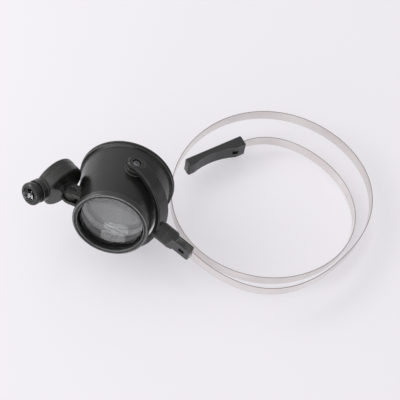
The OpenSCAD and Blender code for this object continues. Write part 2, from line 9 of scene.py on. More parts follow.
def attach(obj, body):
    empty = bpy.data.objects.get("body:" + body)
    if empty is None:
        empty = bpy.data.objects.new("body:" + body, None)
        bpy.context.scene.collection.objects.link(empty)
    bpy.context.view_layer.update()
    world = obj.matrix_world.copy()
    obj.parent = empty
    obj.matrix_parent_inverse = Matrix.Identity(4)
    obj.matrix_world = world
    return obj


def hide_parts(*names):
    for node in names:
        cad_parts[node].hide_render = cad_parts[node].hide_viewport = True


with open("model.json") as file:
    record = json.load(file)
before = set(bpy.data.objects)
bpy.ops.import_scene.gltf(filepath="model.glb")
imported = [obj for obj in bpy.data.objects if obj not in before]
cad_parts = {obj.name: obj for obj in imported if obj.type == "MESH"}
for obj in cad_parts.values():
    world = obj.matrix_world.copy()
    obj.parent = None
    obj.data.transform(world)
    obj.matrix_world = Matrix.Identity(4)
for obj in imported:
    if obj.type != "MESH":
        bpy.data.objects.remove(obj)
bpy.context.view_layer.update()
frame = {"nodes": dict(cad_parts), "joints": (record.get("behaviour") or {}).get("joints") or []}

nodes = frame["nodes"]
joints = {joint["name"]: joint for joint in frame["joints"]}
scene = bpy.context.scene
MM = 0.001

# Viewpoint
# The loupe is seen from 60 degrees above the table, half a metre away,
# from the side of the front lens, through a long lens.
AIM = Vector((-0.00174, -0.0029, 0.0172))
DOWN = math.radians(60)
FAR = 0.5
eye = bpy.data.cameras.new("eye")
eye.lens = 93.6
eye.sensor_width = 36
viewer = bpy.data.objects.new("viewer", eye)
viewer.location = AIM + FAR * Vector((0, -math.cos(DOWN), math.sin(DOWN)))
viewer.rotation_euler = (math.radians(90) - DOWN, 0, 0)
scene.collection.objects.link(viewer)
scene.camera = viewer
scene.view_settings.view_transform = "Standard"


# Table and light
# A sheet of glossy white acrylic in a pale room that is brighter high on the
# left, with three weak softboxes: on the left, behind, and low in front.
class Wire:
    """The output of a node, which adds Math nodes when it is used in sums."""

    def __init__(self, graph, socket):
        self.graph, self.socket = graph, socket

    def sum(self, operation, first, second):
        return self.graph.node("ShaderNodeMath", {"operation": operation}, _0=first, _1=second)

    def __add__(self, other):
        return self.sum("ADD", self, other)

    def __sub__(self, other):
        return self.sum("SUBTRACT", self, other)

    def __mul__(self, other):
        return self.sum("MULTIPLY", self, other)

    def __rsub__(self, other):
        return self.sum("SUBTRACT", other, self)

    __radd__ = __add__
    __rmul__ = __mul__


class Graph:
    """A node tree, with one method that adds any node."""

    def __init__(self, tree):
        self.tree = tree

    def node(self, kind, settings=None, output=0, **values):
        made = self.tree.nodes.new(kind)
        for key, value in (settings or {}).items():
            setattr(made, key, value)
        for key, value in values.items():
            slot = made.inputs[int(key[1:]) if key[1:].isdigit() else key.replace("_", " ")]
            if isinstance(value, Wire):
                self.tree.links.new(value.socket, slot)
            else:
                slot.default_value = value
        return Wire(self, made.outputs[output])


class Finish(Graph):
    """One material, whose patterns are laid out in millimetres in its piece's own frame."""

    def __init__(self, name, place=Matrix.Identity(4), **settings):
        self.material = bpy.data.materials.new(name)
        self.material.use_nodes = True
        super().__init__(self.material.node_tree)
        self.shader = self.tree.nodes["Principled BSDF"]
        for socket, value in settings.items():
            self.shader.inputs[socket.replace("_", " ")].default_value = value
        world_point = self.node("ShaderNodeTexCoord", output="Object")
        self.at = self.node("ShaderNodeMapping", {"vector_type": "TEXTURE"}, Vector=world_point,
                            Location=place.translation, Rotation=place.to_euler(), Scale=(MM, MM, MM))

    def feed(self, socket, wire):
        self.tree.links.new(wire.socket, self.shader.inputs[socket])

    def noise(self, per_mm, detail=2.0, at=None):
        return self.node("ShaderNodeTexNoise", Vector=at or self.at, Scale=per_mm, Detail=detail)

    def ramp(self, wire, low, high, start=0.0, end=1.0):
        return self.node("ShaderNodeMapRange", Value=wire, From_Min=low, From_Max=high,
                         To_Min=start, To_Max=end)

    def mix(self, share, first, second):
        return self.node("ShaderNodeMix", {"data_type": "RGBA"}, output=2,
                         _0=share, _6=first, _7=second)

    def bump(self, height, depth_mm):
        self.feed("Normal", self.node("ShaderNodeBump", Height=height, Distance=depth_mm * MM))


TABLE_SIZE, TABLE_GAP = 12.0, 0.2
TABLE_WHITE, TABLE_GLOW = (0.43, 0.42, 0.438, 1), 0.415
acrylic = Finish("acrylic", Base_Color=TABLE_WHITE, IOR=1.33, Emission_Strength=TABLE_GLOW)
acrylic.feed("Roughness", acrylic.ramp(acrylic.noise(0.02), 0.3, 0.7, 0.16, 0.24))
seen = sum((acrylic.node("ShaderNodeLightPath", output=kind)
            for kind in ("Is Glossy Ray", "Is Transmission Ray")),
           start=acrylic.node("ShaderNodeLightPath", output="Is Camera Ray"))
acrylic.feed("Emission Color", acrylic.mix(seen, (0, 0, 0, 1), (1.0, 0.975, 1.02, 1)))
sheet = bmesh.new()
bmesh.ops.create_grid(sheet, x_segments=1, y_segments=1, size=TABLE_SIZE / 2,
                      matrix=Matrix.Translation((0, 0, -TABLE_GAP * MM)))
table = bpy.data.meshes.new("table")
sheet.to_mesh(table)
table.materials.append(acrylic.material)
table_top = bpy.data.objects.new("table_top", table)
scene.collection.objects.link(table_top)

BRIGHT_WAY, ROOM_LOW, ROOM_HIGH = (-0.8, -0.05, 0.6), 0.22, 1.08
room = bpy.data.worlds.new("room")
scene.world = room
room.use_nodes = True
air = Graph(room.node_tree)
way = air.node("ShaderNodeTexCoord", output="Generated")
toward = air.node("ShaderNodeVectorMath", {"operation": "DOT_PRODUCT"}, output="Value",
                  _0=way, _1=BRIGHT_WAY)
glow = air.node("ShaderNodeMapRange", Value=toward, From_Min=-1.0, To_Min=ROOM_LOW, To_Max=ROOM_HIGH)
backdrop = room.node_tree.nodes["Background"]
backdrop.inputs["Color"].default_value = (1.0, 0.985, 1.01, 1)
room.node_tree.links.new(glow.socket, backdrop.inputs["Strength"])


def softbox(name, place, size, watts):
    """A soft lamp that faces the loupe."""
    panel = bpy.data.lights.new(name, "AREA")
    panel.shape = "RECTANGLE"
    panel.size, panel.size_y = size
    panel.energy = watts
    stand = bpy.data.objects.new(name, panel)
    stand.location = place
    stand.rotation_euler = (AIM - Vector(place)).to_track_quat("-Z", "Y").to_euler()
    scene.collection.objects.link(stand)


softbox("left_box", (-0.55, 0.05, 0.35), (0.26, 0.26), 1.0)
softbox("back_box", (-0.62, 0.35, 0.65), (0.4, 0.3), 1.2)
softbox("front_box", (-0.38, -0.85, 0.22), (0.45, 0.36), 1.5)


# Barrel
# A tapered tube of black moulded plastic with a flange behind, two flat bosses
# for the pivots and a pocket that the lamp bracket is glued into.
CUP_Z, CONE_Z, FACE_Z = 1.9, 3.1, 31.4
FLANGE_R, CONE_R, FRONT_R = 23.0, 21.9, 17.5
SKIRT_R, SKIRT_WALL, SKIRT_Z = 19.95, 1.4, 7.2
BORE_R, SEAT_Z, LEDGE_R = 16.25, 20.45, 14.6
BARREL_WALL = 2.3
PIVOT_Z, BOSS_R, PAD_Y = 14.6, 4.2, 21.6
HINGE_R, HINGE_Z, TAB_R, TAB_OUT = 21.7, 25.1, 4.0, 3.25
VENT_AT, VENT_W, VENT_H = 11, 3.0, 2.0
SNUG = 0.02
CLIP_TIP, CLIP_TURN, CLIP_LEAN = 6.25, -38.1, 3.3
YOKE_ROLL, LOUPE_TILT = 21.5, 22.3
# The first colour lightens the convex edges of the mouldings: partly rubbed wear, partly a painted
# highlight.
RUBBED_SHEEN_TONE, DUST_TONE = (0.27, 0.27, 0.25, 1), (0.4, 0.4, 0.38, 1)


def turn(axis, degrees):
    return Matrix.Rotation(math.radians(degrees), 4, axis)


def shift(x, y, z):
    return Matrix.Translation((x * MM, y * MM, z * MM))


clip_place = (Matrix.Translation(joints["loupe_tilt"]["pos_m"])
              @ turn("Y", CLIP_TIP) @ turn("Z", CLIP_TURN) @ turn("Y", CLIP_LEAN))
yoke_place = clip_place @ turn("X", 90 - YOKE_ROLL)
loupe_place = yoke_place @ turn("Y", LOUPE_TILT) @ shift(0, 0, -PIVOT_Z)


def barrel_r(z):
    """Outside radius of the barrel's cone at a height over the rim."""
    return CONE_R + (FRONT_R - CONE_R) * (z - CONE_Z) / (FACE_Z - CONE_Z)


def rounded(outline, radius, steps=4):
    """The outline with each corner that is off the axis eased to a small curve."""
    points = []
    for i, here in enumerate(outline):
        here = Vector(here)
        back = Vector(outline[i - 1]) - here
        ahead = Vector(outline[(i + 1) % len(outline)]) - here
        cut = min(radius, 0.45 * back.length, 0.45 * ahead.length)
        if here.x < SNUG / 2 or back.angle(ahead) > math.radians(165) or cut < SNUG / 2:
            points.append(here)
            continue
        for k in range(steps + 1):
            t = k / steps
            points.append(here + back.normalized() * cut * (1 - t) ** 2
                          + ahead.normalized() * cut * t ** 2)
    return points


def piece_from(name, solid, place):
    """An object at the origin whose mesh, drawn in millimetres, is put in its place."""
    bmesh.ops.recalc_face_normals(solid, faces=solid.faces)
    mesh = bpy.data.meshes.new(name)
    solid.to_mesh(mesh)
    solid.free()
    mesh.transform(place @ Matrix.Scale(MM, 4))
    piece = bpy.data.objects.new(name, mesh)
    scene.collection.objects.link(piece)
    return piece


def lathe(name, outline, place, radius=0.12, segments=144):
    """A turned piece. The outline holds (radius, height) points round its section."""
    solid = bmesh.new()
    rings = []
    for r, z in rounded(outline, radius):
        count = segments if r > SNUG / 2 else 1
        angles = [k * math.tau / count for k in range(count)]
        rings.append([solid.verts.new((r * math.cos(angle), r * math.sin(angle), z))
                      for angle in angles])
    for low, high in zip(rings, rings[1:] + rings[:1]):
        for k in range(segments):
            corners = dict.fromkeys([low[k % len(low)], low[(k + 1) % len(low)],
                                     high[(k + 1) % len(high)], high[k % len(high)]])
            if len(corners) > 2:
                solid.faces.new(corners)
    return piece_from(name, solid, place)


def block(low, high, place):
    """A plain box between two corners, for cutting."""
    solid = bmesh.new()
    size = [b - a for a, b in zip(low, high)]
    middle = [(a + b) / 2 for a, b in zip(low, high)]
    bmesh.ops.create_cube(solid, matrix=Matrix.Translation(middle) @ Matrix.Diagonal((*size, 1)))
    return piece_from("block", solid, place)


def freeze(piece):
    """Turns a piece with its modifiers into one plain mesh."""
    seen = piece.evaluated_get(bpy.context.evaluated_depsgraph_get())
    ready = bpy.data.meshes.new_from_object(seen)
    piece.modifiers.clear()
    piece.data = ready


def carve(piece, operation, *tools):
    """Joins tools to a piece or cuts them out of it."""
    for tool in tools:
        step = piece.modifiers.new("carve", "BOOLEAN")
        step.operation, step.object, step.solver = operation, tool, "EXACT"
    freeze(piece)
    for tool in tools:
        bpy.data.objects.remove(tool)


def fit(piece, look, slot, body, *stands_for):
    """Shades a piece, gives it its finish and hangs it on its body in place of its nodes."""
    piece.data.shade_smooth()
    piece.data.set_sharp_from_angle(angle=math.radians(38))
    piece.modifiers.new("even", "WEIGHTED_NORMAL").keep_sharp = True
    freeze(piece)
    piece.data.materials.clear()
    piece.data.materials.append(look.material)
    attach(piece, body)
    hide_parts(*stands_for)


def moulded(name, tint, roughness, place, grain=0.006, dust=0.0, wear_and_sheen=1.0):
    """Moulded plastic with a fine skin, a cloudy gloss, specks of dust and edges lighter for rubbed
    wear and a painted highlight.
    """
    look = Finish(name, place)
    cloud = look.noise(0.14, 3.0)
    skin = look.noise(4.0)
    tone = look.mix(cloud, (*[0.75 * c for c in tint], 1), (*[1.25 * c for c in tint], 1))
    eased_normal = look.node("ShaderNodeBevel", {"samples": 6}, Radius=0.36 * MM)
    true_normal = look.node("ShaderNodeNewGeometry", output="Normal")
    agree = look.node("ShaderNodeVectorMath", {"operation": "DOT_PRODUCT"}, output="Value",
                      _0=eased_normal, _1=true_normal)
    # Convex edges are made lighter in patches: partly rubbed wear, partly a painted highlight along the
    # edges.
    rubbed_and_sheen = look.ramp(agree, 0.99, 0.9, 0.0, wear_and_sheen) * look.ramp(look.noise(0.25), 0.35, 0.6, 0.15, 1.0)
    tone = look.mix(rubbed_and_sheen, tone, RUBBED_SHEEN_TONE)
    specks = look.node("ShaderNodeTexVoronoi", output="Distance", Vector=look.at, Scale=0.3)
    tone = look.mix(look.ramp(specks, 0.03, 0.045, dust, 0.0), tone, DUST_TONE)
    look.feed("Base Color", tone)
    look.feed("Roughness", look.ramp(cloud, 0.3, 0.7, roughness - 0.05, roughness + 0.05) + 0.04 * skin)
    look.bump(skin, grain)
    return look


barrel_black = moulded("barrel_black", (0.013, 0.0145, 0.0125), 0.25, loupe_place, dust=0.8, wear_and_sheen=1.3)
barrel = lathe("barrel_tube", [
    (SKIRT_R + SNUG, CUP_Z), (FLANGE_R, CUP_Z), (FLANGE_R, CONE_Z), (CONE_R, CONE_Z + 0.2),
    (FRONT_R, FACE_Z), (BORE_R, FACE_Z), (BORE_R, SEAT_Z), (LEDGE_R, SEAT_Z), (LEDGE_R, SEAT_Z - 1.6),
    (barrel_r(SEAT_Z - 3) - BARREL_WALL, SEAT_Z - 3), (SKIRT_R - SKIRT_WALL, SKIRT_Z),
    (SKIRT_R + SNUG, SKIRT_Z)], loupe_place, radius=0.3, segments=180)
for side in (0, 180):
    boss_place = loupe_place @ shift(0, 0, PIVOT_Z) @ turn("Z", side) @ turn("X", -90)
    carve(barrel, "UNION", lathe("boss", [
        (0, barrel_r(PIVOT_Z) - 1.6), (BOSS_R, barrel_r(PIVOT_Z) - 1.6), (BOSS_R, PAD_Y), (0, PAD_Y)],
        boss_place, segments=72))
carve(barrel, "DIFFERENCE",
      block((-FLANGE_R, -TAB_OUT - SNUG, HINGE_Z - TAB_R - SNUG),
            (-BORE_R - 0.45 + SNUG, TAB_OUT + SNUG, HINGE_Z + TAB_R + SNUG), loupe_place),
      block((CONE_R - 3, -VENT_W / 2, CONE_Z + 0.3), (FLANGE_R, VENT_W / 2, CONE_Z + 0.3 + VENT_H),
            loupe_place @ turn("Z", VENT_AT)))
fit(barrel, barrel_black, "barrel_plastic", "loupe", "barrel")

# Eye cup
# A ring of softer matt plastic that rests round the eye. Its skirt is pressed
# into the back of the barrel, with a gap line between the two.
RIM_R, CUP_T = 23.2, 1.5
cup_black = moulded("cup_black", (0.018, 0.018, 0.0165), 0.4, loupe_place, grain=0.012, wear_and_sheen=1.3)
eye_cup = lathe("eye_cup_ring", [
    (RIM_R - 2.6, 0), (RIM_R - 0.9, 0), (RIM_R, 0.5), (RIM_R, CUP_T - 0.3), (RIM_R - 0.4, CUP_T),
    (RIM_R - 1, CUP_T), (RIM_R - 1, CUP_Z), (SKIRT_R, CUP_Z), (SKIRT_R, SKIRT_Z),
    (SKIRT_R - SKIRT_WALL, SKIRT_Z), (SKIRT_R - SKIRT_WALL, CUP_Z + 2), (RIM_R - 3.1, 0.5)],
    loupe_place, radius=0.35, segments=180)
fit(eye_cup, cup_black, "cup_plastic", "loupe", "eye_cup")

# Lens ring
# The glossy black ring screwed into the front of the barrel, with a groove
# round it and two thin lips. It holds the front lens down.
RING_R, LOUPE_LEN, RING_WALL = 18.0, 34.4, 0.8
LENS_EDGE, SPACER_LEN = 2.0, 5.6
LENS_Z2 = SEAT_Z + 2 * LENS_EDGE + SPACER_LEN
ring_in = BORE_R - RING_WALL - SNUG
ring_black = moulded("ring_black", (0.012, 0.0125, 0.012), 0.15, loupe_place, grain=0.002)
ring_black.shader.inputs["IOR"].default_value = 1.65
ring_z = ring_black.node("ShaderNodeSeparateXYZ", output="Z", Vector=ring_black.at)
# The two front lips are painted lighter in patches: partly rubbed wear, partly a painted highlight.
worn_lips_and_sheen = ring_black.ramp(ring_z, LOUPE_LEN - 0.2, LOUPE_LEN - 0.05) * ring_black.noise(1.2)
ring_tone = ring_black.mix(worn_lips_and_sheen, (0.014, 0.0145, 0.014, 1), (0.30, 0.30, 0.29, 1))
ring_black.feed("Base Color", ring_tone)
lens_ring = lathe("lens_ring_front", [
    (RING_R, FACE_Z), (RING_R, FACE_Z + 1), (RING_R - 0.4, FACE_Z + 1.2), (RING_R - 0.4, FACE_Z + 1.5),
    (RING_R, FACE_Z + 1.7), (RING_R, LOUPE_LEN - 0.8), (RING_R - 0.25, LOUPE_LEN - 0.25),
    (RING_R - 0.8, LOUPE_LEN), (RING_R - 1, LOUPE_LEN), (RING_R - 1.15, LOUPE_LEN - 0.6),
    (ring_in + 0.75, LOUPE_LEN - 0.6), (ring_in + 0.5, LOUPE_LEN), (ring_in, LOUPE_LEN - 0.3),
    (ring_in, LENS_Z2), (BORE_R - SNUG, LENS_Z2), (BORE_R - SNUG, FACE_Z)],
    loupe_place, radius=0.22, segments=180)
fit(lens_ring, ring_black, "barrel_plastic", "loupe", "lens_ring")

# Lenses and spacer
# Two polished glass lenses, domed on both sides and ground at their edges, with
# a matt black tube between them. They drop in from the front.
LENS_R = 16.1


def lens(name, z, back, front, bevel=(0, 0)):
    """A lens with a dome behind and in front, each given by its reach and its height."""
    def dome(reach, sag, base, up):
        ball = (reach ** 2 + sag ** 2) / (2 * sag)
        return [(r, base + up * (sag - ball + math.sqrt(ball ** 2 - r ** 2)))
                for r in (reach * k / 24 for k in range(25))]
    top = z + LENS_EDGE
    outline = dome(*back, z, -1) + [(LENS_R, z), (LENS_R, top), (front[0] + bevel[0] + 0.02, top)]
    return lathe(name, outline + dome(*front, top + bevel[1], 1)[::-1], loupe_place, radius=0.05)


def glass(name, place, ground_r):
    """Clear glass with faint smears, ground dull at its edge."""
    look = Finish(name, place, Base_Color=(0.97, 0.985, 0.98, 1), Roughness=0.0, IOR=1.52)
    look.shader.inputs["Transmission Weight"].default_value = 1
    flat = look.node("ShaderNodeVectorMath", {"operation": "MULTIPLY"}, _0=look.at, _1=(1, 1, 0))
    off_axis = look.node("ShaderNodeVectorMath", {"operation": "LENGTH"}, output="Value", _0=flat)
    smear = look.ramp(look.noise(0.2, 4.0), 0.58, 0.75, 0.0, 0.03)
    look.feed("Roughness", look.ramp(off_axis, ground_r - 0.1, ground_r, 0.0, 0.5) + smear)
    return look


lens_glass = glass("lens_glass", loupe_place, LENS_R - 0.15)
fit(lens("front_glass", LENS_Z2 - LENS_EDGE, (15.0, 1.5), (14.7, 0.6), bevel=(0.65, 1.15)),
    lens_glass, "lens_glass", "loupe", "front_lens")
fit(lens("rear_glass", SEAT_Z, (14.5, 0.6), (15.0, 1.2)),
    lens_glass, "lens_glass", "loupe", "rear_lens")


def dress(node, look):
    """Gives a CAD node that keeps its shape its finish."""
    nodes[node].data.materials.clear()
    nodes[node].data.materials.append(look.material)


dress("lens_spacer", moulded("spacer_black", (0.02, 0.02, 0.02), 0.6, loupe_place, grain=0.02))


# Lamp bracket and hinge screw
# A small moulded bracket glued into the barrel's side, with two round tabs. A
# blackened screw through them is the lamp's hinge pin.
def eased(name, node, width_mm, segments=2):
    """A moulding with the shape of its CAD node, its edges eased."""
    solid = bmesh.new()
    solid.from_mesh(nodes[node].data)
    bmesh.ops.remove_doubles(solid, verts=solid.verts, dist=3e-3 * MM)
    bmesh.ops.dissolve_limit(solid, angle_limit=math.radians(1.5), verts=solid.verts, edges=solid.edges)
    mesh = bpy.data.meshes.new(name)
    solid.to_mesh(mesh)
    solid.free()
    for layer in ("custom_normal", "sharp_edge", "sharp_face"):
        if layer in mesh.attributes:
            mesh.attributes.remove(mesh.attributes[layer])
    piece = bpy.data.objects.new(name, mesh)
    scene.collection.objects.link(piece)
    ease = piece.modifiers.new("ease", "BEVEL")
    ease.width, ease.segments = width_mm * MM, segments
    ease.limit_method, ease.angle_limit = "ANGLE", math.radians(32)
    ease.use_clamp_overlap = False
    freeze(piece)
    return piece


def metal(name, tint, roughness, place, scratch=0.1, grain=0.002):
    """Plain or blackened metal with a worn, unevenly scratched sheen."""
    look = Finish(name, place, Metallic=1.0)
    worn = look.noise(0.9, 4.0)
    fine = look.noise(9.0)
    dull, bright = [(*[share * c for c in tint], 1) for share in (0.8, 1.15)]
    look.feed("Base Color", look.mix(worn, dull, bright))
    half = scratch / 2
    look.feed("Roughness", look.ramp(worn, 0.35, 0.65, roughness - half, roughness + half))
    look.bump(fine, grain)
    return look


hinge_place = loupe_place @ shift(-HINGE_R, 0, HINGE_Z)
black_screw = metal("black_screw", (0.22, 0.22, 0.23), 0.4, loupe_place)
fit(eased("bracket_tabs", "lamp_bracket", 0.1), barrel_black, "barrel_plastic", "loupe", "lamp_bracket")
dress("hinge_screw", metal("hinge_black", (0.07, 0.07, 0.075), 0.45, loupe_place))

# Lamp housing
# The fixed half of the battery drum, with the base of the nozzle and the
# toothed knuckle that clicks round between the bracket's tabs.
LAMP_SWING = -30.9
lamp_place = hinge_place @ turn("Y", LAMP_SWING)
drum_place = lamp_place @ shift(0, -0.5, 0)
lamp_black = moulded("lamp_black", (0.014, 0.016, 0.013), 0.28, drum_place, dust=0.5)
fit(eased("housing_drum", "lamp_housing", 0.07), lamp_black, "lamp_plastic", "lamp", "lamp_housing")

# Battery cover and contact spring
# The outer half of the drum, which turns off with a coin. A coiled brass spring
# on its inside presses on the cells.
COVER_X, LAMP_X, COVER_R = 10.05, 13.15, 11.1
SPIGOT_X, SPIGOT_R, CAVITY_R, DRUM_WALL = 7.5, 9.95, 8.6, 1.4
COIN_SLOT, COIN_W, COIN_DEEP = 11.0, 1.4, 0.6
cover_place = drum_place @ turn("Y", -90)
cover = lathe("cover_cap", [
    (SPIGOT_R, SPIGOT_X), (SPIGOT_R, COVER_X), (COVER_R, COVER_X), (COVER_R, LAMP_X - 0.5),
    (COVER_R - 0.5, LAMP_X), (0, LAMP_X), (0, LAMP_X - DRUM_WALL), (CAVITY_R, LAMP_X - DRUM_WALL),
    (CAVITY_R, SPIGOT_X)], cover_place, radius=0.3)
carve(cover, "DIFFERENCE", block((-COIN_W / 2, -COIN_SLOT / 2, LAMP_X - COIN_DEEP),
                                 (COIN_W / 2, COIN_SLOT / 2, LAMP_X + 1), cover_place))
fit(cover, lamp_black, "lamp_plastic", "cover", "battery_cover")


class Recipe(Graph):
    """A geometry node tree with named inputs, made into a plain mesh when it is cooked."""

    def __init__(self, name, **sizes):
        super().__init__(bpy.data.node_groups.new(name, "GeometryNodeTree"))
        kinds = {float: "NodeSocketFloat", bpy.types.Material: "NodeSocketMaterial"}
        sockets = {"Geometry": "NodeSocketGeometry"}
        sockets.update({key: kinds[type(value)] for key, value in sizes.items()})
        self.sizes = sizes
        self.sockets = {key: self.tree.interface.new_socket(key, in_out="INPUT", socket_type=kind)
                        for key, kind in sockets.items()}
        self.tree.interface.new_socket("Geometry", in_out="OUTPUT", socket_type="NodeSocketGeometry")
        self.source = self.tree.nodes.new("NodeGroupInput")

    def size(self, key):
        return Wire(self, self.source.outputs[key])

    def cook(self, name, made, data, place):
        """Ends the tree, runs it on the data and puts the plain mesh in its place."""
        real = self.node("GeometryNodeRealizeInstances", Geometry=made)
        painted = self.node("GeometryNodeSetMaterial", Geometry=real, Material=self.size("Material"))
        end = self.tree.nodes.new("NodeGroupOutput")
        self.tree.links.new(painted.socket, end.inputs["Geometry"])
        maker = bpy.data.objects.new(name + "_maker", data)
        scene.collection.objects.link(maker)
        step = maker.modifiers.new("recipe", "NODES")
        step.node_group = self.tree
        for key, value in self.sizes.items():
            step[self.sockets[key].identifier] = value
        graph = bpy.context.evaluated_depsgraph_get()
        mesh = bpy.data.meshes.new_from_object(maker.evaluated_get(graph), depsgraph=graph,
                                               preserve_all_data_layers=True)
        bpy.data.objects.remove(maker)
        solid = bmesh.new()
        solid.from_mesh(mesh)
        bmesh.ops.remove_doubles(solid, verts=solid.verts, dist=1e-4)
        return piece_from(name, solid, place)


SPRING_FROM, SPRING_TO = 1.8, 5.0
SPRING_TURNS, SPRING_WIRE = 4.5, 0.2
CELL_FLOOR, CELL_T = 6.7, 1.6
cells_top = CELL_FLOOR + 2 * CELL_T
brass = metal("spring_brass", (0.80, 0.62, 0.30), 0.25, drum_place)
coil = Recipe("conical_spring", Turns=SPRING_TURNS, Inner=SPRING_FROM, Outer=SPRING_TO,
              Height=LAMP_X - DRUM_WALL - cells_top - 2 * SPRING_WIRE, Wire=SPRING_WIRE,
              Material=brass.material)
spiral = coil.node("GeometryNodeCurveSpiral", Resolution=36, Rotations=coil.size("Turns"),
                   Start_Radius=coil.size("Inner"), End_Radius=coil.size("Outer"),
                   Height=coil.size("Height"))
wire_round = coil.node("GeometryNodeCurvePrimitiveCircle", Resolution=10, Radius=coil.size("Wire"))
wound = coil.node("GeometryNodeCurveToMesh", Curve=spiral, Profile_Curve=wire_round, Fill_Caps=True)
spring = coil.cook("contact_coil", wound, bpy.data.meshes.new("spring_seed"),
                   cover_place @ shift(0, 0, cells_top + SPRING_WIRE))
fit(spring, brass, "contact_brass", "cover", "contact_spring")

# Cells and contacts
# Two coin cells of nickel-plated steel on a brass contact disc, and the diode's
# moulded seat. All of them are closed in by the drum and the nozzle.
nickel = metal("cell_nickel", (0.78, 0.77, 0.75), 0.22, drum_place)
dress("coin_cells", nickel)
dress("contact_disc", brass)
dress("led_seat", moulded("seat_black", (0.02, 0.02, 0.021), 0.5, drum_place))

# Lamp neck and head
# Two black turned rings with a waist between them. The neck is glued to the
# housing, and the head turns on it round the diode.
NOZZLE_X, NOZZLE_R, NOZZLE_Z, NECK_Z, NECK_FLOOR = 9.1, 5.4, 11.2, 13.9, 12.0
SOCKET_R, WAIST_R, WAIST_Z, FLANGE_Z, HEAD_Z = 3.95, 4.7, 13.95, 15.85, 18.45
LED_R, LED_FOOT, LED_BASE, LED_STEP, RECESS, RUN = 2.5, 0.4, 12.5, 13.5, 1.0, 0.05
nozzle_place = drum_place @ shift(-NOZZLE_X, 0, 0)
head_black = moulded("head_black", (0.015, 0.0165, 0.015), 0.2, nozzle_place, grain=0.004)
neck = lathe("neck_ring", [
    (0, NOZZLE_Z), (NOZZLE_R, NOZZLE_Z), (NOZZLE_R, NECK_Z), (SOCKET_R, NECK_Z), (SOCKET_R, NECK_FLOOR),
    (0, NECK_FLOOR)], nozzle_place, radius=0.3)
fit(neck, head_black, "lamp_plastic", "lamp", "lamp_neck")
head = lathe("head_ring", [
    (LED_R + LED_FOOT + RUN, NECK_FLOOR + RUN), (SOCKET_R - RUN, NECK_FLOOR + RUN),
    (SOCKET_R - RUN, WAIST_Z), (WAIST_R, WAIST_Z), (WAIST_R, FLANGE_Z - 0.3), (NOZZLE_R, FLANGE_Z),
    (NOZZLE_R, HEAD_Z - 0.7), (NOZZLE_R - 0.7, HEAD_Z), (LED_R + 1.1, HEAD_Z),
    (LED_R + 0.9, HEAD_Z - RECESS), (LED_R + RUN, HEAD_Z - RECESS), (LED_R + RUN, LED_STEP + RUN),
    (LED_R + LED_FOOT + RUN, LED_STEP + RUN)], nozzle_place, radius=0.4)
fit(head, head_black, "head_plastic", "head", "lamp_head")

# Diode and its leads
# A 5 mm lamp of clear cast resin, with a small foot. Its two tinned leads run
# down to the cells, and inside the resin they end in the cup and the post.
LEAD_Y, LEAD_R, LEADS_FROM = 1.27, 0.25, 10.4
CUP_TOP, POST_TOP = 18.2, 17.6
led_top = HEAD_Z + 0.1
resin = Finish("clear_resin", nozzle_place, Base_Color=(0.985, 0.99, 1.0, 1), Roughness=0.02, IOR=1.5)
resin.shader.inputs["Transmission Weight"].default_value = 1
resin.feed("Roughness", resin.ramp(resin.noise(1.5, 3.0), 0.5, 0.8, 0.0, 0.06))
bulb = [(LED_R * math.cos(k * math.pi / 24), led_top + LED_R * math.sin(k * math.pi / 24))
        for k in range(13)]
led = lathe("diode_resin", [
    (0, LED_BASE), (LED_R + LED_FOOT, LED_BASE), (LED_R + LED_FOOT, LED_STEP),
    (LED_R, LED_STEP)] + bulb, nozzle_place, radius=0.06, segments=96)
fit(led, resin, "led_resin", "lamp", "led")
tinned = metal("tinned_lead", (0.6, 0.6, 0.61), 0.22, nozzle_place)
wire = [(0, LEADS_FROM), (LEAD_R, LEADS_FROM), (LEAD_R, LED_STEP + 1), (0, LED_STEP + 1)]
leads, lead = [lathe(name, wire, nozzle_place @ shift(0, y, 0), radius=0.03, segments=24)
               for name, y in (("diode_leads", -LEAD_Y), ("lead", LEAD_Y))]
carve(leads, "UNION", lead,
      block((-0.24, -1.7, LED_STEP + 0.4), (0.24, -0.2, CUP_TOP - 1), nozzle_place),
      block((-0.24, 0.75, LED_STEP + 0.4), (0.24, 1.6, POST_TOP), nozzle_place),
      lathe("cup", [(0, CUP_TOP - 1), (0.35, CUP_TOP - 1), (0.6, CUP_TOP), (0.5, CUP_TOP),
                    (0.25, CUP_TOP - 0.5), (0, CUP_TOP - 0.5)],
            nozzle_place @ shift(0, -0.3, 0), radius=0.03, segments=48))
fit(leads, tinned, "cell_steel", "lamp", "led_leads")

# Yoke
# A half ring of black moulded plastic that carries the barrel between its two
# eyes. Its stem turns on the band clip, held by a screw inside.
yoke_black = moulded("yoke_black", (0.010, 0.011, 0.0095), 0.23, yoke_place, dust=0.6, wear_and_sheen=1.5)
fit(eased("yoke_arm", "yoke", 0.07), yoke_black, "yoke_plastic", "yoke", "yoke")

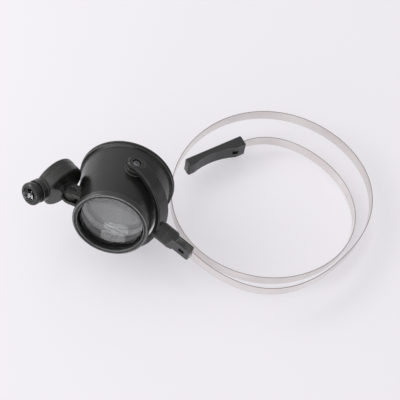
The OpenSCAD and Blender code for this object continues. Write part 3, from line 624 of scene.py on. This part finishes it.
# Pivot screws
# Two blackened steel screws with cross recesses, sunk in the yoke's eyes. They
# are screwed into the barrel's bosses and turn with the barrel.
HEAD_R, HEAD_Y, HEAD_H, SHANK_R, THREAD_R, THREAD_LEN = 1.75, 22.92, 1.08, 1.2, 1.0, 3.4
CROSS_W, CROSS_LEN = 0.4, 2.0
pivot_place = loupe_place @ shift(0, 0, PIVOT_Z)
screw_draft = Matrix.Scale(1 / MM, 4) @ turn("X", -90)
screw = lathe("screw", [
    (0, PAD_Y - THREAD_LEN), (THREAD_R, PAD_Y - THREAD_LEN), (THREAD_R, PAD_Y), (SHANK_R, PAD_Y),
    (SHANK_R, HEAD_Y), (HEAD_R, HEAD_Y), (HEAD_R, HEAD_Y + HEAD_H - 0.35),
    (HEAD_R - 0.45, HEAD_Y + HEAD_H), (0, HEAD_Y + HEAD_H)], screw_draft, radius=0.15, segments=64)
cross = [block((-x, -y, HEAD_Y + 0.45), (x, y, HEAD_Y + 2), screw_draft)
         for x, y in ((CROSS_W / 2, CROSS_LEN / 2), (CROSS_LEN / 2, CROSS_W / 2))]
carve(screw, "DIFFERENCE", *cross)
pair = Recipe("screw_pair", Turn=math.pi, Material=black_screw.material)
half_turn = pair.node("ShaderNodeCombineXYZ", Z=pair.size("Turn"))
opposite = pair.node("GeometryNodeTransform", Geometry=pair.size("Geometry"), Rotation=half_turn)
both = pair.node("GeometryNodeJoinGeometry", Geometry=opposite)
pair.tree.links.new(pair.size("Geometry").socket, both.socket.node.inputs["Geometry"])
screws = pair.cook("pivot_screw_pair", both, screw.data, pivot_place)
bpy.data.objects.remove(screw)
fit(screws, black_screw, "screw_steel", "loupe", "pivot_screws")
dress("swivel_screw", black_screw)

# Band clip
# A black moulded clip with a round collar against the stem, sloped shoulders
# and a flat holder that the spring strip is pushed into, with a catch window.
HOLDER_X, MOUTH_X, HOLDER_H = 34.05, 42.85, 8.2
RIB_W, RIB_DEEP, RIB_STEP = 0.3, 0.18, 0.95
clip_black = moulded("clip_black", (0.017, 0.018, 0.0165), 0.26, clip_place, dust=0.5)
clip = eased("clip_body", "band_clip", 0.05)
grooves = [block((HOLDER_X + 0.4, row * RIB_STEP - RIB_W / 2, face * HOLDER_H / 2 - RIB_DEEP),
                 (MOUTH_X + 1, row * RIB_STEP + RIB_W / 2, face * HOLDER_H / 2 + RIB_DEEP), clip_place)
           for face in (-1, 1) for row in (-1, 0, 1)]
carve(clip, "DIFFERENCE", *grooves)
fit(clip, clip_black, "clip_plastic", "headband", "band_clip")

# Headband
# One flat strip of polished spring steel, bent to a loop that springs round the
# head. Its ends are punched and snap into the clip and the end piece.
BAND_LEN, BAND_H, BAND_T, BAND_TAIL, BAND_EDGE = 484.0, 6.4, 0.39, 9.0, 0.12
BENDS = [115, 35, 100, 38, 54, 48, 50, 39, 54, 46, 31, 59, 24]
STEPS, BLEND, MOUTH_BEND, DROP = 150, 14.0, -4.7, math.radians(CLIP_LEAN)
SLOPE, DIP, DIP_AT, DIP_LEN = 0.019, 6.4, 0.63 * BAND_LEN, 65.0
band_place = clip_place @ shift(MOUTH_X, 0, 0) @ turn("Y", -CLIP_LEAN)


def bend_at(share):
    """How sharply the strip curves at a share of its length."""
    spans = len(BENDS) - 1
    k = min(int(share * spans), spans - 1)
    return (1 - share * spans + k) / BENDS[k] + (share * spans - k) / BENDS[k + 1]


def slope_at(s):
    """How steeply the strip falls at a distance from the clip."""
    return (SLOPE + (math.tan(DROP) - SLOPE) * max(0, 1 - s / BLEND) ** 2
            + DIP * 2 * (DIP_AT - s) / DIP_LEN ** 2 * math.exp(-((s - DIP_AT) / DIP_LEN) ** 2))


step_len = BAND_LEN / STEPS
heading = math.radians(MOUTH_BEND)
tangents = []
for i in range(STEPS + 1):
    ahead = Vector((math.cos(heading), math.sin(heading), -slope_at(i * step_len)))
    tangents.append(ahead.normalized())
    heading += bend_at((i + 0.5) / STEPS) * step_len
route = [Vector((0, 0, 0))]
for i in range(STEPS):
    route.append(route[-1] + step_len * (tangents[i] + tangents[i + 1]).normalized())
tail = Vector((math.cos(DROP), 0, -math.sin(DROP)))
route = [-BAND_TAIL * tail, -0.5 * tail] + route + [route[-1] + BAND_TAIL * tangents[-1]]

strip_line = bpy.data.curves.new("strip_line", "CURVE")
strip_line.dimensions = "3D"
spline = strip_line.splines.new("POLY")
spline.points.add(len(route) - 1)
for point, at in zip(spline.points, route):
    point.co = (*at, 1)

band_steel = Finish("band_steel", band_place, Metallic=1.0)
along = band_steel.node("ShaderNodeAttribute", {"attribute_name": "along"}, output="Fac")
across = band_steel.node("ShaderNodeAttribute", {"attribute_name": "across"}, output="Fac")
rolled = band_steel.node("ShaderNodeCombineXYZ", X=0.01 * along, Y=3.0 * across)
lines = band_steel.noise(1.0, 3.0, at=rolled)
stain = band_steel.noise(0.03, 3.0)
polished = band_steel.mix(band_steel.ramp(stain, 0.35, 0.65),
                          (0.86, 0.83, 0.80, 1), (0.74, 0.695, 0.68, 1))
near_edge = band_steel.ramp(across.sum("ABSOLUTE", across, 0), BAND_H / 2 - 0.3, BAND_H / 2 - 0.1)
band_steel.feed("Base Color", band_steel.mix(near_edge, polished, (0.40, 0.37, 0.35, 1)))
band_steel.feed("Roughness", band_steel.ramp(lines, 0.3, 0.7, 0.14, 0.26))
band_steel.bump(lines, 0.002)

strip = Recipe("spring_strip", Width=BAND_H, Thickness=BAND_T, Edge=BAND_EDGE,
               Material=band_steel.material)
smooth = strip.node("GeometryNodeCurveSplineType", {"spline_type": "CATMULL_ROM"},
                    Curve=strip.size("Geometry"))
smooth = strip.node("GeometryNodeSetSplineResolution", Geometry=smooth, Resolution=4)
upright = strip.node("GeometryNodeSetCurveNormal", {"mode": "Z_UP"}, Curve=smooth)
length = strip.node("GeometryNodeSplineParameter", output="Length")
marked = strip.node("GeometryNodeStoreNamedAttribute", {"data_type": "FLOAT", "domain": "POINT"},
                    Geometry=upright, Name="along", Value=length)
section = strip.node("GeometryNodeCurvePrimitiveQuadrilateral", Width=strip.size("Thickness"),
                     Height=strip.size("Width"))
section = strip.node("GeometryNodeFilletCurve", {"mode": "POLY"}, Curve=section, Count=2,
                     Radius=strip.size("Edge"))
spot = strip.node("ShaderNodeSeparateXYZ", output="Y", Vector=strip.node("GeometryNodeInputPosition"))
section = strip.node("GeometryNodeStoreNamedAttribute", {"data_type": "FLOAT", "domain": "POINT"},
                     Geometry=section, Name="across", Value=spot)
swept = strip.node("GeometryNodeCurveToMesh", Curve=marked, Profile_Curve=section, Fill_Caps=True)
band = strip.cook("spring_strip", swept, strip_line, band_place)
fit(band, band_steel, "band_steel", "headband", "headband")

# End piece
# A black moulded grip pushed over the free end of the strip. It is thinner at
# its waist, and a small window shows the catch.
end_black = moulded("end_black", (0.018, 0.0185, 0.0185), 0.3, band_place, dust=0.5, wear_and_sheen=1.5)
fit(eased("end_grip", "end_piece", 0.16), end_black, "clip_plastic", "headband", "end_piece")
